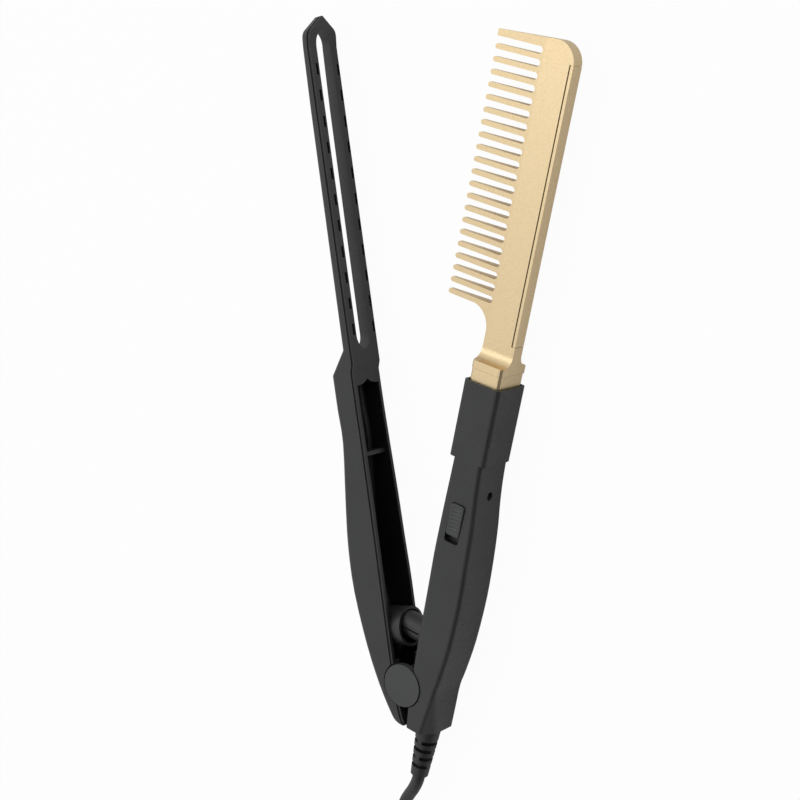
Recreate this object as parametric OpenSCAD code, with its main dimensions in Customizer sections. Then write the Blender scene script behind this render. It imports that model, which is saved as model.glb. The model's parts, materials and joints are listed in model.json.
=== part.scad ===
// Hot comb with a spring-loaded splint: a heated metal comb on a plastic handle,
// and a hinged forked splint that presses the hair against the comb.
// The part lies on its side. The hinge axis is Z through the origin, the handle
// runs along Y, and Z = 0 is the surface that the part rests on.

/* [General] */
// Height of the middle plane above the surface that the part rests on
rest_h = 9.8; // [9.8:0.1:12]
// Angle between the splint and the handle at rest, the open stop
open_angle = 22.75; // [10:0.25:30]

/* [Comb] */
// Number of teeth
tooth_count = 22; // [8:1:24]
// Distance from one tooth to the next
tooth_pitch = 4.5; // [3.5:0.1:5]
// Height of a tooth across its row
tooth_w = 1.9; // [1.2:0.1:2.4]
// How far the teeth reach from the roots of the gaps
tooth_len = 21; // [12:0.2:24]
// Half thickness of a tooth at its tip
tooth_tip_h = 0.75; // [0.4:0.05:1.5]
// Half thickness of the blade
blade_h = 2.75; // [2.5:0.05:4]
// X of the roots of the gaps
root_x = 1.5; // [0:0.1:2]
// X of the comb's back
back_x = 15.1; // [14:0.1:18]
// Y of the middle of the lowest tooth
tooth_y0 = 154.5; // [150:0.5:160]
// Radius of the rounded top corner
corner_r = 8.1; // [3:0.1:12]
// Thickness of the strip that closes the heater slot
spine_t = 1.4; // [1:0.1:2]
// Half height of the heater slot
slot_h = 1.5; // [1.2:0.05:2]
// Width of the seams that show between the metal pieces
seam_w = 0.2; // [0.1:0.05:0.3]
// Depth of those seams
seam_d = 0.3; // [0.2:0.05:0.5]

/* [Comb foot] */
// Half thickness of the foot
foot_h = 8; // [6:0.1:8.4]
// X of the foot's inner side
foot_x0 = 1.3; // [1:0.1:3]
// Y of the seam between the comb and its socket
seam_y = 132.1; // [130:0.1:136]
// Thickness of the comb's flange
flange_t = 2.9; // [2:0.1:4]
// Radius of the cove above the flange
cove_r = 4.3; // [2:0.1:5]
// Rounding of the foot's upright edges
foot_r = 1.5; // [0.5:0.1:2]

/* [Handle] */
// Wall of the handle's shell
wall = 2; // [1.4:0.1:2.4]
// Rounding of the handle's long edges
edge_r = 1.8; // [1:0.1:3]
// Rounding between the lower facet and the handle's outer side
facet_r = 6; // [4:0.1:8]
// Y of the handle's lower end
handle_y0 = -16.2; // [-24:0.1:-16]
// Y where the collar starts
collar_y0 = 97.4; // [96:0.1:100]
// Y of the collar's top
collar_y1 = 127.2; // [122:0.1:129]
// X of the collar's inner side
collar_x0 = -0.2; // [-1:0.1:0]
// X of the collar's outer side
collar_x1 = 16.1; // [16:0.1:18]
// Half depth of the collar
collar_h = 8.85; // [8.85:0.05:9.6]
// Wall of the collar
collar_wall = 1; // [0.8:0.1:1.6]
// Length of the housing's neck inside the collar
neck_len = 7; // [4:0.5:9]

/* [Hinge] */
// Radius of the hinge caps
cap_r = 8.5; // [7:0.1:9]
// Radius of the hinge pin
pin_r = 2; // [1.5:0.1:3]
// Running clearance of the pin in the ears
pin_gap = 0.05; // [0.02:0.01:0.08]
// Half height of the handle's knuckle
knuckle_h = 4.6; // [3.5:0.1:5]
// Radius of the knuckle
knuckle_r = 6; // [4:0.1:6.5]
// Thickness of an ear
ear_t = 2.2; // [1.5:0.1:2.4]
// Gap between parts that turn against each other
turn_gap = 0.3; // [0.2:0.05:0.5]

/* [Splint] */
// Y of the splint's tip
tip_y = 260.5; // [258:0.5:270]
// Half width of the fork
fork_w = 8.33; // [7:0.1:9]
// Half width of the slot in the fork
slot_w = 4; // [3:0.1:5]
// Y of the slot's lower end
slot_y0 = 131.5; // [129:0.5:140]
// Y of the slot's upper end
slot_y1 = 255.7; // [240:0.5:256]
// X of the face that meets the comb
face_x = -3.06; // [-4:0.02:-2.5]
// Wall of the splint's channel
splint_wall = 1.9; // [1.4:0.1:2.4]
// Height of the ledge along the splint's rims
ledge_h = 1.08; // [0.6:0.02:1.4]
// Width of that ledge
ledge_w = 0.5; // [0.2:0.05:0.8]
// Radius of the arcs that meet at the slot's pointed ends
lancet_r = 6; // [4.5:0.1:8]
// Radius of the tip's shoulders
shoulder_r = 4; // [2:0.1:5]
// Radius of the tip's point
point_r = 1.5; // [1:0.1:2]
// Number of pockets along each rail
pocket_count = 11; // [4:1:12]
// Distance from one pocket to the next
pocket_pitch = 10.05; // [8:0.05:10.1]
// Depth of a pocket
pocket_d = 1.6; // [0.5:0.1:2.5]

/* [Spring] */
// Y of the middle of the spring and its post
spring_y = 21; // [20:0.1:22]
// Outer radius of the post
post_r = 5.05; // [4:0.05:5.5]
// How far the post reaches to the inner side
post_x = -9.5; // [-11:0.1:-8]
// Outer radius of the cup in the splint
cup_r = 7.9; // [7.5:0.1:8]
// Wall of the cup
cup_wall = 1.1; // [0.8:0.1:1.3]
// Thickness of the spring wire
wire_d = 0.8; // [0.5:0.1:1]
// Mean radius of the spring
coil_r = 2.6; // [2:0.1:3]

/* [Switch] */
// X of the middle of the switch
switch_x = 8.95; // [8.5:0.05:9.5]
// Y of the lower end of the switch window
window_y0 = 64.8; // [62:0.1:68]
// Length of the switch window
window_l = 15.8; // [14:0.1:18]
// Width of the switch window
window_w = 6.5; // [5:0.1:7]
// Travel of the switch
switch_travel = 2.6; // [1.5:0.1:3]
// Gap round the switch button
switch_gap = 0.2; // [0.1:0.05:0.4]
// Number of ribs on the button
rib_count = 7; // [3:1:9]
// Y of the light's hole
led_y = 84.5; // [83:0.1:88]
// Radius of the light's hole
led_r = 1.65; // [1:0.05:2.5]

/* [Cord] */
// Diameter of the cord
cord_d = 5; // [5:0.1:5]
// X of the cord where it leaves the handle
cord_x = 10; // [9.5:0.1:10.5]
// Length of the strain relief below the handle
relief_l = 21.5; // [18:0.5:30]
// Mean radius of the wound cord
wound_r = 26.2; // [26.2:0.1:26.2]

/* [Hidden] */
$fn = 48;
eps = 0.01;
far = 60;

// Handle sections from the bottom up: [y, inner x, outer x, half depth]
handle_rows = [
    [handle_y0, 4.5, 15.4, 8.9], [-8, 3.75, 15.3, 9.15], [2, 3.15, 15.2, 9.4],
    [9, 2.95, 16.3, 9.55], [23, 2.65, 18, 9.7], [42, 2.35, 18.65, rest_h],
    [58, 1.95, 18, rest_h], [71, 1.75, 17.2, 9.35], [80, 1.65, 16.2, 9],
    [89, 1.75, 15.4, 8.85], [collar_y0, 1.9, 15, 8.85]
];
// Splint sections from the tail up: [y, back x, rim x, half width]
splint_rows = [
    [-16.4, -2.9, -2.3, 9], [-15, -6.7, -2.5, 9.05], [-11.5, -8.8, -3.1, 9.2],
    [0, -12.6, -3.6, 9.4], [15.4, -16, -3.3, 9.55], [37, -18.75, -3.1, 9.6],
    [55.4, -19, -3.25, 9.2], [73.8, -17.2, -3.4, 8.95], [96, -14.8, -3.75, 8.5],
    [109, -15.2, -4, 8.4], [122.7, -15.3, -4.1, fork_w]
];
// Back and face of the splint's fork: [y, x], from the flare up to the tip
fork_back = [
    [122.7, -15.3], [132.2, -8.15], [225, -7.6], [249, -7.05], [255, -6.6], [258.5, -5.9], [262, -4.4]
];
fork_front = [
    [123.3, -4.1], [126.2, face_x], [249, face_x], [253, -2.6], [256, -1.8], [262, -1.5]
];
// End of the splint's channel: [z, height above the channel's end]
channel_end = [
    [5.8, 0], [4.5, 0.1], [3.3, 0.3], [2.4, 0.6], [1.3, 1.1], [0.6, 1.6],
    [0, 1.95],
    [-0.6, 1.6], [-1.3, 1.1], [-2.4, 0.6], [-3.3, 0.3], [-4.5, 0.1], [-5.8, 0]
];
smooth_steps = 3;

// Value of a smooth curve through four values, at the share t between the middle two
function bend(a, b, c, d, t) =
    b + t * ((c - a) / 2 + t * (a - 2.5 * b + 2 * c - d / 2 + t * (1.5 * (b - c) + (d - a) / 2)));
// Rows of a table with smooth rows added between them
function smooth_rows(rows) = [
    for (i = [0 : len(rows) - 2])
        for (k = [0 : smooth_steps - 1])
            bend(rows[max(i - 1, 0)], rows[i], rows[i + 1], rows[min(i + 2, len(rows) - 1)],
                 k / smooth_steps),
    rows[len(rows) - 1]
];
// Value at y of one column of a table of rows
function row_at(rows, y, column) = lookup(y, [for (q = rows) [q[0], q[column]]]);
// Points of an arc and of a quarter circle
arc_steps = 4;
function arc(cx, cz, r, a0, a1) = [
    for (k = [0 : arc_steps])
        let (a = a0 + (a1 - a0) * k / arc_steps) [cx + r * cos(a), cz + r * sin(a)]
];
function quarter(cx, cz, r, a0) = arc(cx, cz, r, a0, a0 + 90);
// A radius that fits a section
function fitted(r, x0, x1, h) = min(r, (x1 - x0) * 0.4, h * 0.9);
// Rounded rectangle in X and Z, with its own radius on each side
function rounded(x0, x1, h, low_r, high_r) =
    let (r0 = fitted(low_r, x0, x1, h), r1 = fitted(high_r, x0, x1, h))
        concat(
            quarter(x1 - r1, h - r1, r1, 0),
            quarter(x0 + r0, h - r0, r0, 90),
            quarter(x0 + r0, -h + r0, r0, 180),
            quarter(x1 - r1, -h + r1, r1, 270)
        );

// Solid through rounded rectangles: rows of [y, low x, high x, half depth]
module loft(rows, r0, r1) {
    loops = [for (q = rows) [for (p = rounded(q[1], q[2], q[3], r0, r1)) [p[0], q[0], p[1]]]];
    sweep(loops);
}

// Solid through a list of closed loops of points
module sweep(loops) {
    n = len(loops[0]);
    m = len(loops);
    points = [for (loop = loops) for (p = loop) p];
    sides = [
        for (i = [0 : m - 2])
            for (j = [0 : n - 1])
                let (a = i * n + j, b = i * n + (j + 1) % n)
                    each [[a, b, b + n], [a, b + n, a + n]]
    ];
    caps = [
        [for (j = [n - 1 : -1 : 0]) j],
        [for (j = [0 : n - 1]) (m - 1) * n + j]
    ];
    polyhedron(points = points, faces = concat(sides, caps), convexity = 10);
}

// Upright column along Y with rounded edges
module column(x0, x1, h, y0, y1, r) {
    loft([[y0, x0, x1, h], [y1, x0, x1, h]], r, r);
}

// Place of the middle plane
module lifted() {
    translate([0, 0, rest_h])
        children();
}

// Place of the splint at rest
module opened() {
    translate([0, 0, rest_h])
        rotate([0, 0, open_angle])
            children();
}

// Box between two corners
module block(lo, hi) {
    translate(lo)
        cube(hi - lo);
}

// Cylinder along Z between two heights
module disc(r, z0, z1) {
    translate([0, 0, z0])
        cylinder(r = r, h = z1 - z0);
}

// Cylinder along X from a point
module rod_x(p, r, l) {
    translate(p)
        rotate([0, 90, 0])
            cylinder(r = r, h = l);
}

// Cylinder along Y from a point
module rod_y(p, r, l) {
    translate(p)
        rotate([-90, 0, 0])
            cylinder(r = r, h = l);
}

// Both sides of the middle plane
module both_sides() {
    children();
    mirror([0, 0, 1])
        children();
}

// ---- Comb ----

tip_x = root_x - tooth_len;
gap_w = tooth_pitch - tooth_w;
top_y = tooth_y0 + (tooth_count - 1) * tooth_pitch;
comb_top = top_y + 2.7;
flange_y = seam_y + flange_t;
spine_x = back_x - spine_t;
spine_y0 = flange_y + 7.8;
spine_y1 = comb_top - 7.4;
heater_y0 = spine_y0 + 3;
heater_y1 = spine_y1 - 3;
heater_x0 = 5;
lead_x0 = 6;
lead_x1 = 11;
tail_r = 8.6;
top_slope = 1.2;
tongue = 1.2;

// Outline of the comb seen from the front, without the gaps
module comb_outline() {
    neck_y = tooth_y0 - tooth_w / 2;
    polygon([
        [tip_x, neck_y], [foot_x0, neck_y], [foot_x0, seam_y], [back_x, seam_y],
        [back_x, comb_top - corner_r], [back_x - corner_r, comb_top],
        [tip_x, comb_top - top_slope]
    ]);
    translate([back_x - corner_r, comb_top - corner_r])
        circle(r = corner_r);
    translate([foot_x0 - tail_r, neck_y - tail_r])
        difference() {
            square(tail_r);
            circle(r = tail_r);
        }
}

// One gap between two teeth, with its round root
module tooth_gap() {
    translate([root_x - gap_w / 2, 0])
        circle(d = gap_w);
    translate([tip_x - 5, -gap_w / 2])
        square([tooth_len + 5 - gap_w / 2, gap_w]);
}

// What rounds the end of one tooth
module tooth_end(w) {
    difference() {
        translate([-1, -w / 2 - 0.5])
            square([w / 2 + 1, w + 1]);
        translate([w / 2, 0])
            circle(d = w);
    }
}

// The comb seen from the front
module comb_face() {
    difference() {
        comb_outline();
        for (i = [0 : tooth_count - 2])
            translate([0, tooth_y0 + (i + 0.5) * tooth_pitch])
                tooth_gap();
        for (i = [0 : tooth_count - 2])
            translate([tip_x, tooth_y0 + i * tooth_pitch])
                tooth_end(tooth_w);
    }
}

// The comb's section across its teeth, as seen along Y
module wedge() {
    crease_x = root_x + 1;
    translate([0, seam_y - 5, 0])
        rotate([-90, 0, 0])
            linear_extrude(height = comb_top - seam_y + 10)
                polygon([
                    [tip_x - 1, tooth_tip_h], [crease_x, blade_h], [back_x + 1, blade_h],
                    [back_x + 1, -blade_h], [crease_x, -blade_h], [tip_x - 1, -tooth_tip_h]
                ]);
}

// Flange and coves at the foot, as seen along X
module foot_profile() {
    difference() {
        translate([seam_y, -foot_h])
            square([flange_t + cove_r, 2 * foot_h]);
        for (s = [-1, 1]) {
            translate([flange_y + cove_r, s * (blade_h + cove_r)])
                circle(r = cove_r);
            translate([flange_y, s > 0 ? blade_h + cove_r : -foot_h - 1])
                square([cove_r + 1, foot_h + 1 - blade_h - cove_r]);
        }
    }
}

module comb_blade() {
    color([0.87, 0.76, 0.55])
        lifted()
            difference() {
                union() {
                    intersection() {
                        translate([0, 0, -blade_h])
                            linear_extrude(height = 2 * blade_h)
                                comb_face();
                        wedge();
                    }
                    intersection() {
                        translate([foot_x0, 0, 0])
                            rotate([90, 0, 90])
                                linear_extrude(height = back_x - foot_x0)
                                    foot_profile();
                        column(foot_x0, back_x, foot_h, seam_y - 1, flange_y + cove_r + 1, foot_r);
                    }
                }
                block([heater_x0, heater_y0, -slot_h], [back_x + 1, heater_y1, slot_h]);
                block([spine_x, spine_y0, -blade_h - 1], [back_x + 1, spine_y1, blade_h + 1]);
                block([lead_x0, seam_y - 1, -slot_h], [lead_x1, heater_y0 + 1, slot_h]);
            }
}

module comb_spine_cover() {
    color([0.87, 0.76, 0.55])
        lifted() {
            block([spine_x + seam_w, spine_y0 + seam_w, -blade_h],
                  [back_x, spine_y1 - seam_w, blade_h]);
            block([spine_x, spine_y0, -blade_h + seam_d],
                  [back_x - seam_d, spine_y1, blade_h - seam_d]);
            block([spine_x - tongue, heater_y0, -slot_h], [spine_x, heater_y1, slot_h]);
        }
}

// The heater's layers, from the middle plane outwards
element_h = 0.6;
electrode_h = 0.9;
heater_x1 = spine_x - tongue;
strip_x1 = 12;

module heater_elements() {
    count = 4;
    step = (heater_y1 - heater_y0) / count;
    color([0.35, 0.35, 0.37])
        lifted()
            for (i = [0 : count - 1])
                block([heater_x0 + 0.5, heater_y0 + i * step + 1, -element_h],
                      [strip_x1, heater_y0 + (i + 1) * step - 1, element_h]);
}

module heater_electrodes() {
    color([0.75, 0.62, 0.35])
        lifted()
            both_sides() {
                block([heater_x0 + 0.5, heater_y0, element_h], [strip_x1, heater_y1 - 1, electrode_h]);
                block([lead_x0 + 1, seam_y - 4, element_h], [lead_x1 - 1, heater_y0, electrode_h]);
            }
}

module heater_insulation() {
    color([0.85, 0.6, 0.2])
        lifted()
            both_sides()
                block([heater_x0, heater_y0, electrode_h], [heater_x1, heater_y1, slot_h]);
}

// ---- Comb foot and collar ----

socket_gap = 0.25;
socket_h = collar_h - collar_wall - socket_gap;
socket_x1 = collar_x1 - collar_wall - socket_gap;
socket_y0 = 118;
lead_h = 3;
insulator_y0 = collar_y0 + neck_len + 1;
cavity_r = edge_r - collar_wall;
screw_z = 5.2;
screw_x = 8.2;

module comb_socket() {
    color([0.87, 0.76, 0.55])
        lifted()
            difference() {
                union() {
                    column(foot_x0, socket_x1, socket_h, socket_y0, seam_y - seam_w, foot_r);
                    column(foot_x0 + seam_d, socket_x1 - seam_d, socket_h - seam_d,
                           socket_y0, seam_y, foot_r - seam_d);
                }
                block([lead_x0 - 1, socket_y0 - 1, -lead_h], [lead_x1 + 1, seam_y + 1, lead_h]);
                for (s = [-1, 1])
                    rod_y([screw_x, socket_y0 - 1, s * screw_z], 1.25, 9);
            }
}

module heat_insulator() {
    color([0.8, 0.78, 0.72])
        lifted()
            difference() {
                column(collar_x0 + collar_wall, collar_x1 - collar_wall, collar_h - collar_wall,
                       insulator_y0, socket_y0, cavity_r);
                block([lead_x0 - 1, insulator_y0 - 1, -lead_h], [lead_x1 + 1, socket_y0 + 1, lead_h]);
                for (s = [-1, 1]) {
                    rod_y([screw_x, insulator_y0 - 1, s * screw_z], 1.25, socket_y0);
                    rod_y([screw_x, insulator_y0 - 1, s * screw_z], 2.2, 3);
                }
            }
}

module comb_screws() {
    color("silver")
        lifted()
            for (s = [-1, 1]) {
                rod_y([screw_x, insulator_y0, s * screw_z], 2.2, 2);
                rod_y([screw_x, insulator_y0 + 2, s * screw_z], 1.25, socket_y0 + 7 - insulator_y0 - 2);
            }
}

module collar() {
    color([0.16, 0.165, 0.17])
        lifted()
            difference() {
                column(collar_x0, collar_x1, collar_h, collar_y0, collar_y1, edge_r);
                column(collar_x0 + collar_wall, collar_x1 - collar_wall, collar_h - collar_wall,
                       collar_y0 + collar_floor, collar_y1 + 1, cavity_r);
                block([neck_x0, collar_y0 - 1, -neck_h], [neck_x1, collar_y0 + 2, neck_h]);
            }
}

// ---- Handle ----

collar_floor = 1.5;
neck_x0 = 3;
neck_x1 = 14;
neck_h = 7.4;
pocket_r = cap_r + 0.4;
pocket_wall = 1.3;
cover_y0 = 30;
cover_y1 = 92;
cover_h = 6.6;
cover_in_x = 4.35;
boss_r = 2.2;
screw_low_z = -4;
screw_y = [cover_y0 + 4, cover_y1 - 4];
relief_neck_r = 3.2;

function grow(q, d) = [q[0], q[1] + d, q[2] - d, q[3] - d];
handle_outer = [for (q = smooth_rows(handle_rows)) [q[0], q[1], q[2], min(q[3], rest_h)]];
handle_inner = [
    for (q = handle_outer)
        if (q[0] > handle_y0 + wall && q[0] < collar_y0 - 1)
            grow(q, wall)
];

// The facet beside the cord's end: its normal, and how far out it lies at each height
facet_a = 29;
facet_n = [cos(facet_a), sin(facet_a)];
facet_d0 = 14.71;
facet_rise = 0.1415;
facet_join = 3;
function facet_at(y) = facet_d0 + facet_rise * (y - handle_y0);

// Section of the handle, a rounded rectangle whose front corner is cut by the facet
function handle_section(q, ra, rb, inset) =
    let (
        x0 = q[1],
        x1 = q[2],
        h = q[3],
        d = facet_at(q[0]) - inset,
        xa = min(x1 - ra, (d - ra - facet_n[1] * (h - ra)) / facet_n[0]),
        r = min(rb, (x1 - xa - facet_n[0] * ra) / (1 - facet_n[0])),
        zb = min((d - r - facet_n[0] * (x1 - r)) / facet_n[1], h - ra + facet_n[1] * (ra - r))
    ) concat(
        arc(x1 - r, zb, r, 0, facet_a - facet_join),
        arc(xa, h - ra, ra, facet_a + facet_join, 90),
        quarter(x0 + ra, h - ra, ra, 90),
        quarter(x0 + ra, -h + ra, ra, 180),
        quarter(x1 - ra, -h + ra, ra, 270)
    );

// Solid through the handle's sections
module handle_loft(rows, ra, rb, inset) {
    sweep([for (q = rows) [for (p = handle_section(q, ra, rb, inset)) [p[0], q[0], p[1]]]]);
}

module handle_body() {
    handle_loft(handle_outer, edge_r, facet_r, 0);
}

// The handle's knuckle, its pockets' floors and their walls
module knuckle() {
    disc(knuckle_r, -knuckle_h, knuckle_h);
    intersection() {
        handle_body();
        both_sides() {
            disc(pocket_r + pocket_wall, knuckle_h - pocket_wall, knuckle_h);
            difference() {
                disc(pocket_r + pocket_wall, knuckle_h - eps, far);
                disc(pocket_r, knuckle_h - 1, far + 1);
            }
        }
    }
}

// Bosses for the screws of the inner cover and of the cord clamp
module bosses() {
    intersection() {
        handle_body();
        union() {
            for (y = screw_y)
                rod_x([cover_in_x, y, screw_low_z], boss_r, far);
            for (x = clamp_x)
                translate([x, clamp_y, 0])
                    disc(clamp_boss_r, -far, clamp_z0);
        }
    }
}

module handle_housing() {
    post_hole_x = 1;
    color([0.16, 0.165, 0.17])
        lifted()
            difference() {
                union() {
                    difference() {
                        union() {
                            handle_body();
                            block([neck_x0, collar_y0 - 2, -neck_h],
                                  [neck_x1, collar_y0 + neck_len, neck_h]);
                        }
                        handle_loft(handle_inner, edge_r / 2, facet_r - wall, wall);
                        block([neck_x0 + wall, collar_y0 - 5, -neck_h + wall],
                              [neck_x1 - wall, collar_y0 + neck_len + 1, neck_h - wall]);
                    }
                    knuckle();
                    bosses();
                }
                for (y = screw_y)
                    rod_x([0, y, screw_low_z], 1.1, 9);
                for (x = clamp_x)
                    translate([x, clamp_y, 0])
                        disc(clamp_screw_r, clamp_z0 - 5, clamp_z0 + 1);
                both_sides()
                    disc(pocket_r, knuckle_h, far);
                disc(pin_r, -far, far);
                block([0, cover_y0, -cover_h], [cover_in_x, cover_y1, cover_h]);
                rod_x([post_hole_x, spring_y, 0], post_r, 6);
                rod_y([cord_x, handle_y0 - 1, 0], relief_neck_r, wall + 6);
                rod_x([10, led_y, 0], led_r, 10);
                switch_window();
            }
}

// Rectangle with round corners
module soft_square(w, l, r) {
    square([w - 2 * r, l], center = true);
    square([w, l - 2 * r], center = true);
    for (sx = [-1, 1], sy = [-1, 1])
        translate([sx * (w / 2 - r), sy * (l / 2 - r)])
            circle(r = r);
}

// The window over the switch button
module switch_window() {
    translate([switch_x, window_y0 + window_l / 2, 5])
        linear_extrude(height = 6)
            soft_square(window_w, window_l, window_r);
}

module inner_cover() {
    color([0.16, 0.165, 0.17])
        lifted()
            difference() {
                intersection() {
                    handle_body();
                    block([0, cover_y0, -cover_h], [cover_in_x, cover_y1, cover_h]);
                }
                for (y = screw_y) {
                    rod_x([0, y, screw_low_z], 1.1, 10);
                    rod_x([0, y, screw_low_z], 2.1, 3);
                }
            }
}

module cover_screws() {
    color("silver")
        lifted()
            for (y = screw_y) {
                rod_x([2.5, y, screw_low_z], 1.9, 0.5);
                rod_x([3, y, screw_low_z], 1.1, 6);
            }
}

// ---- Electrical pieces in the handle ----

board_z0 = 0;
board_z1 = 1.6;
board_x0 = 4.9;
board_x1 = 13.2;
board_y0 = 46;
board_y1 = 82;
button_z0 = 6.7;
skirt_z0 = 6.3;
skirt_w = 7.8;
skirt_y0 = window_y0 - 0.4;
skirt_y1 = window_y0 + window_l + switch_travel;
switch_y = window_y0 + window_l / 2;

module circuit_board() {
    color([0.1, 0.35, 0.2])
        lifted() {
            block([board_x0, board_y0, board_z0], [board_x1, board_y1, board_z1]);
            block([board_x0 + 1, board_y0 + 4, board_z1], [board_x0 + 4, board_y0 + 12, board_z1 + 4]);
        }
}

module switch_body() {
    color([0.1, 0.1, 0.1])
        lifted()
            difference() {
                block([switch_x - 3, switch_y - 6.5, board_z1], [switch_x + 3, switch_y + 6.5, 6.2]);
                block([switch_x - 1.2, switch_y - 3.5, 3.4], [switch_x + 1.2, switch_y + 4.5, 7]);
            }
}

// The button sits at the upper end of its window and slides down
window_r = 1.2;
button_w = window_w - 2 * switch_gap;
button_y1 = window_y0 + window_l - switch_gap;
button_y0 = window_y0 + switch_gap + switch_travel;
button_top = 8.9;

module switch_button() {
    mid = (button_y0 + button_y1) / 2;
    step = (button_y1 - button_y0 - 2) / rib_count;
    stem_y = switch_y + 1.8;
    color([0.13, 0.13, 0.135])
        lifted() {
            translate([switch_x, mid, button_z0])
                linear_extrude(height = button_top - 0.5 - button_z0)
                    soft_square(button_w, button_y1 - button_y0, window_r - switch_gap);
            for (i = [0 : rib_count - 1])
                block([switch_x - button_w / 2 + 0.8, button_y0 + 1 + (i + 0.2) * step, button_top - 0.6],
                      [switch_x + button_w / 2 - 0.8, button_y0 + 1 + (i + 0.8) * step, button_top]);
            block([switch_x - skirt_w / 2, skirt_y0, skirt_z0],
                  [switch_x + skirt_w / 2, skirt_y1, button_z0 + eps]);
            block([switch_x - 0.9, stem_y - 1.4, 4], [switch_x + 0.9, stem_y + 1.4, skirt_z0 + eps]);
        }
}

module indicator_light() {
    color([0.5, 0.05, 0.05])
        lifted() {
            rod_x([9.5, led_y, 0], led_r - 0.15, 5);
            rod_x([8.9, led_y, 0], led_r + 0.3, 0.6);
            for (z = [board_z0 - 0.4, board_z0 - 1.2])
                block([8.4, board_y1 - 2, z], [8.9, led_y + 1, z + 0.4]);
        }
}

module thermal_fuse() {
    color([0.85, 0.85, 0.85])
        lifted()
            rod_y([11.4, board_y0 + 3, board_z1 + 1.3], 1.3, 11);
}

module heater_wires() {
    color([0.85, 0.85, 0.8])
        lifted()
            for (z = [0.75, -0.75])
                rod_y([7.6, z > 0 ? board_y1 : board_y1 - 5, z], 0.55,
                      seam_y - 4 - board_y1 + (z > 0 ? 0 : 5));
}

module supply_wires() {
    color([0.3, 0.3, 0.75])
        lifted()
            for (s = [-1, 1])
                rod_y([cord_x + s * 1.2, inner_end_y, board_z1 / 2], 0.6, board_y0 - inner_end_y);
}

// ---- Spring, post and hinge ----

post_flange_x = 5;

module spring_post() {
    bore = post_r - 1;
    color([0.2, 0.2, 0.205])
        lifted()
            difference() {
                union() {
                    rod_x([post_x, spring_y, 0], post_r, post_flange_x - post_x);
                    rod_x([post_flange_x, spring_y, 0], post_r + 1.5, 1.2);
                }
                rod_x([post_x - 1, spring_y, 0], bore, 3.5);
                block([post_x - 1, spring_y - 0.3, 0], [0, spring_y + 0.3, post_r + 1]);
            }
}

// The spring runs along a smooth curve from the post's shelf to the cup's floor
shelf_x = post_x + 2.5;
spring_a = [shelf_x, spring_y];
cup_floor_x = -15.2;
cup_y = 21.4;
function turned(p, a) = [p[0] * cos(a) - p[1] * sin(a), p[0] * sin(a) + p[1] * cos(a)];
spring_b = turned([cup_floor_x, cup_y], open_angle);
spring_pull = 14;
function along(t) = let (
    m0 = [-spring_pull, 0],
    m1 = turned([-spring_pull, 0], open_angle)
) (2 * pow(t, 3) - 3 * pow(t, 2) + 1) * spring_a + (pow(t, 3) - 2 * pow(t, 2) + t) * m0
    + (3 * pow(t, 2) - 2 * pow(t, 3)) * spring_b + (pow(t, 3) - pow(t, 2)) * m1;
spring_turns = 7;
ring_steps = 14;
wire_sides = 6;
function unit(v) = v / norm(v);

module compression_spring() {
    steps = spring_turns * ring_steps;
    t0 = 0.04;
    path = [
        for (i = [0 : steps])
            let (
                t = t0 + (1 - 2 * t0) * i / steps,
                c = along(t),
                d = unit(along(t + 0.01) - along(t - 0.01)),
                a = 360 * i / ring_steps
            ) [c[0] - d[1] * coil_r * cos(a), c[1] + d[0] * coil_r * cos(a), coil_r * sin(a)]
    ];
    color("silver")
        lifted()
            sweep(tube_loops(path, wire_d / 2, wire_sides));
}

// Rings of points round a path
function tube_loops(path, r, sides) = [
    for (i = [0 : len(path) - 1])
        let (
            d = unit(path[min(i + 1, len(path) - 1)] - path[max(i - 1, 0)]),
            u = unit(cross(d, abs(d[2]) > 0.9 ? [1, 0, 0] : [0, 0, 1])),
            v = cross(d, u)
        ) [for (j = [0 : sides - 1])
            path[i] + r * (cos(360 * j / sides) * u + sin(360 * j / sides) * v)]
];

cap_z0 = knuckle_h + ear_t + 2 * turn_gap - 0.1;

module pivot_pin() {
    color("silver")
        lifted()
            disc(pin_r, -rest_h + 1.2, rest_h - 1.2);
}

module pivot_caps() {
    color([0.18, 0.185, 0.19])
        lifted()
            both_sides()
                difference() {
                    disc(cap_r, cap_z0, rest_h);
                    disc(pin_r, cap_z0 - 1, rest_h - 1.2);
                }
}

module splint_washers() {
    color("silver")
        lifted()
            both_sides()
                difference() {
                    disc(4, knuckle_h, knuckle_h + 0.2);
                    disc(pin_r, knuckle_h - 1, knuckle_h + 1);
                }
}

// ---- Splint ----

channel_y = 118;
channel_h = 20;
channel_step = 2.5;
rib_y = 90.8;
rib_t = 1.6;
rib_x = -5.9;
rib_h = 7;
cup_x = 1.2;
cup_floor_t = 0.3;
ear_z0 = knuckle_h + turn_gap;
recess_r = cap_r + 0.6;
ear_r = 7;
body_rows = smooth_rows(splint_rows);

// The tip narrows from its shoulders to its point along straight slopes
tip_a = 52;
shoulder_z = fork_w - shoulder_r;
point_y = tip_y - point_r;
shoulder_y = point_y + (point_r - shoulder_r - cos(tip_a) * shoulder_z) / sin(tip_a);
tip_outline = concat(
    arc(shoulder_z, shoulder_y, shoulder_r, 0, tip_a),
    arc(0, point_y, point_r, tip_a, 75)
);
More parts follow.
